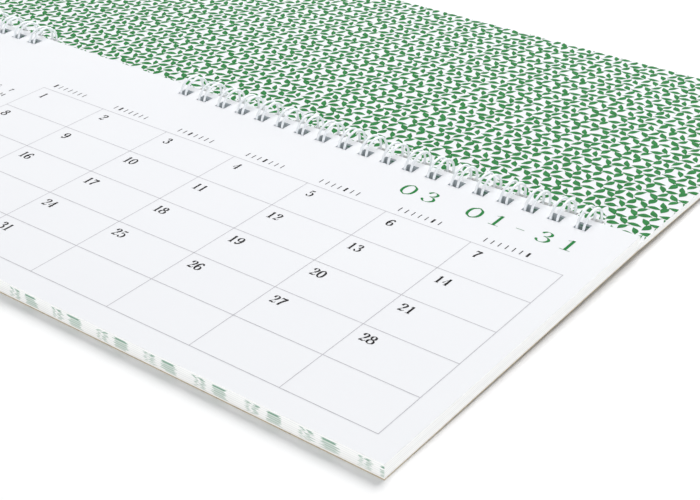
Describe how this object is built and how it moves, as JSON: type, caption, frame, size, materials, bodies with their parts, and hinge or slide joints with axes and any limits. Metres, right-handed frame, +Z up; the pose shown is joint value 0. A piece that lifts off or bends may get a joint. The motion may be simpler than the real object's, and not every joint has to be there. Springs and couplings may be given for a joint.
{
  "type": "desk calendar",
  "caption": "Long wire-bound desk calendar lying open: a block of month leaves on a backing board, and turned leaves on the cover that swing over the loops.",
  "frame": {"origin": "on the table, under the middle of the binding", "axes": "+X along the binding, +Y towards the turned half, +Z up from the table"},
  "size_m": [0.4124, 0.2406, 0.0104],
  "materials": {
    "leaf_paper": "uncoated, printed",
    "grey_board": "raw",
    "cover_card": "uncoated",
    "coated_wire": "gloss white coating"
  },
  "bodies": {
    "base": {"backing_board": "grey_board", "page_block": "leaf_paper", "wire_left": "coated_wire", "wire_right": "coated_wire"},
    "turned": {"turned_leaves": "leaf_paper", "front_cover": "cover_card"}
  },
  "joints": [
    {"name": "turned_half_swing", "type": "hinge", "parent": "base", "child": "turned", "pos_m": [0, 0, 0.0052], "axis": [1, 0, 0], "range_deg": [0, 181.5]}
  ]
}
